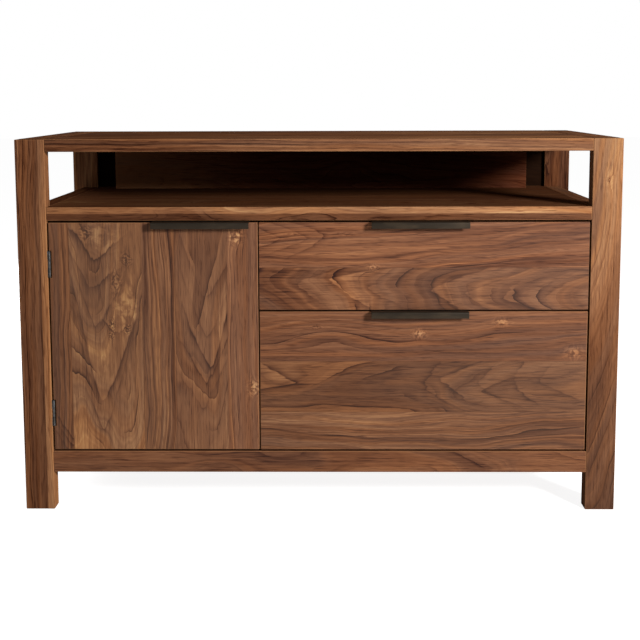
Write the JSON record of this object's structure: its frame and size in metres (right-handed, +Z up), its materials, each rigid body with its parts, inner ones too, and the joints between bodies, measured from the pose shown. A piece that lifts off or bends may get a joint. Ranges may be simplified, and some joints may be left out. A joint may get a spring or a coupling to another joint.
{
  "type": "office credenza",
  "caption": "Walnut office credenza: full-height corner legs, an open shelf under the top, an inset hinged door beside stacked file drawers, and bent-plate edge pulls.",
  "frame": {"origin": "floor level, in the middle of the whole box's width and depth (pulls included)", "axes": "+X to the right of someone facing the front, +Y towards the rear, +Z up"},
  "size_m": [1.22, 0.528, 0.768],
  "materials": {
    "walnut": "satin oil, open grain",
    "plywood": "clear satin",
    "bronze": "dark bronze, satin",
    "nickel": "satin nickel",
    "zinc": "bright zinc plate",
    "plastic": "matte"
  },
  "bodies": {
    "case": {"front_left_leg": "walnut", "front_right_leg": "walnut", "rear_left_leg": "walnut", "rear_right_leg": "walnut", "top_panel": "walnut", "left_top_rail": "walnut", "right_top_rail": "walnut", "open_shelf": "walnut", "left_shelf_rail": "walnut", "right_shelf_rail": "walnut", "left_side_panel": "walnut", "right_side_panel": "walnut", "front_bottom_rail": "walnut", "rear_bottom_rail": "walnut", "bottom_panel": "walnut", "centre_partition": "walnut", "cable_cover_panel": "walnut", "upper_back_panel": "walnut", "lower_back_panel": "walnut", "adjustable_shelf": "walnut", "front_left_shelf_pin": "nickel", "front_right_shelf_pin": "nickel", "rear_left_shelf_pin": "nickel", "rear_right_shelf_pin": "nickel", "upper_hinge_leg_leaf": "nickel", "upper_hinge_pin": "nickel", "lower_hinge_leg_leaf": "nickel", "lower_hinge_pin": "nickel", "door_catch": "plastic", "upper_left_slide_outer": "zinc", "upper_right_slide_outer": "zinc", "lower_left_slide_outer": "zinc", "lower_right_slide_outer": "zinc"},
    "door": {"door_panel": "walnut", "door_pull": "bronze", "upper_hinge_door_leaf": "nickel", "lower_hinge_door_leaf": "nickel", "door_strike": "zinc"},
    "upper_drawer": {"upper_drawer_front": "walnut", "upper_drawer_left_side": "plywood", "upper_drawer_right_side": "plywood", "upper_drawer_back": "plywood", "upper_drawer_bottom": "plywood", "upper_drawer_pull": "bronze", "upper_left_slide_inner": "zinc", "upper_right_slide_inner": "zinc"},
    "lower_drawer": {"lower_drawer_front": "walnut", "lower_drawer_left_side": "plywood", "lower_drawer_right_side": "plywood", "lower_drawer_back": "plywood", "lower_drawer_bottom": "plywood", "lower_drawer_pull": "bronze", "lower_left_slide_inner": "zinc", "lower_right_slide_inner": "zinc", "lower_drawer_front_file_rail": "zinc", "lower_drawer_rear_file_rail": "zinc"},
    "upper_slide_middles": {"upper_left_slide_middle": "zinc", "upper_right_slide_middle": "zinc"},
    "lower_slide_middles": {"lower_left_slide_middle": "zinc", "lower_right_slide_middle": "zinc"}
  },
  "joints": [
    {"name": "door_hinge", "type": "hinge", "parent": "case", "child": "door", "pos_m": [-0.5455, -0.246, 0.36], "axis": [0, 0, -1], "range_deg": [0, 170]},
    {"name": "upper_drawer_slide", "type": "slide", "parent": "case", "child": "upper_drawer", "axis": [0, -1, 0], "range_m": [0, 0.4]},
    {"name": "upper_slide_extension", "type": "slide", "parent": "case", "child": "upper_slide_middles", "axis": [0, -1, 0], "range_m": [0, 0.2]},
    {"name": "lower_drawer_slide", "type": "slide", "parent": "case", "child": "lower_drawer", "axis": [0, -1, 0], "range_m": [0, 0.4]},
    {"name": "lower_slide_extension", "type": "slide", "parent": "case", "child": "lower_slide_middles", "axis": [0, -1, 0], "range_m": [0, 0.2]}
  ],
  "couplings": [
    {"joint": "upper_slide_extension", "follows": "upper_drawer_slide", "ratio": 0.5},
    {"joint": "lower_slide_extension", "follows": "lower_drawer_slide", "ratio": 0.5}
  ]
}
